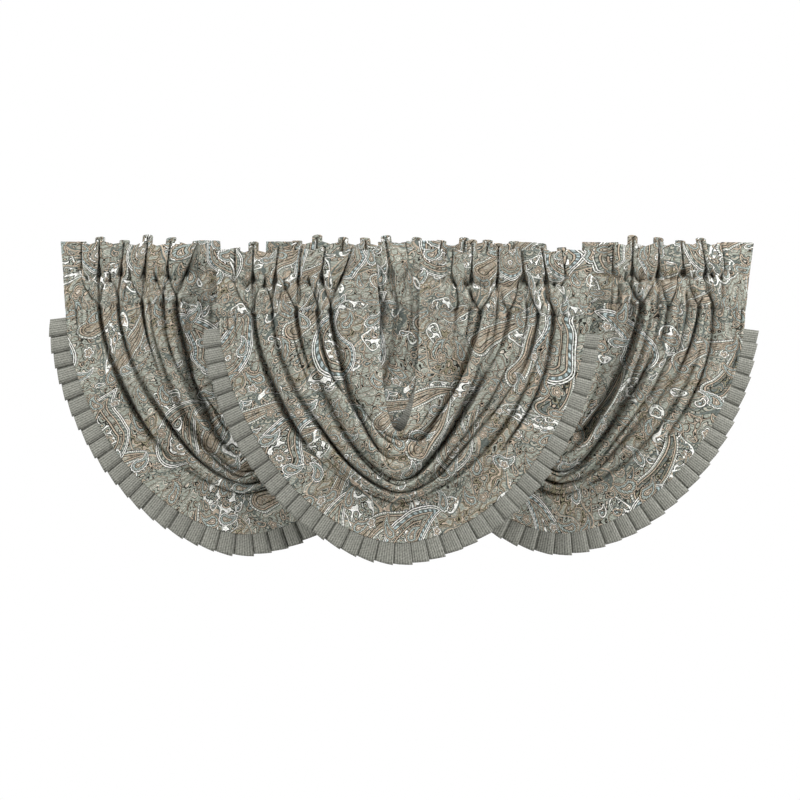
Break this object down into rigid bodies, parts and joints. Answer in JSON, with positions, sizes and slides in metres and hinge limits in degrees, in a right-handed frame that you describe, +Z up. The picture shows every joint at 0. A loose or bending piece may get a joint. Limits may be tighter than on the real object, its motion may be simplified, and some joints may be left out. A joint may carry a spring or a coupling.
{
  "type": "waterfall valance set",
  "caption": "Lapped waterfall window valances with gathered rod-pocket headings, draped cowl folds and a pleated trim along each curved hem.",
  "frame": {"origin": "on the top edge of the headings, half way along the set, in the plane of the middle rod", "axes": "+X along the rods to the viewer's right, +Y away from the viewer towards the wall, +Z up"},
  "size_m": [1.7859, 0.17, 0.8245],
  "materials": {
    "face_cloth": "woven jacquard, paisley in grey-green, tan, pale blue and off-white",
    "trim_cloth": "plain ribbed weave, grey-green"
  },
  "bodies": {
    "root": {"left_heading_left": "face_cloth", "left_heading_right": "face_cloth", "left_swag": "face_cloth", "left_ruffle": "trim_cloth", "front_heading_left": "face_cloth", "front_heading_right": "face_cloth", "front_swag": "face_cloth", "front_ruffle": "trim_cloth", "right_heading_left": "face_cloth", "right_heading_right": "face_cloth", "right_swag": "face_cloth", "right_ruffle": "trim_cloth"}
  },
  "joints": []
}
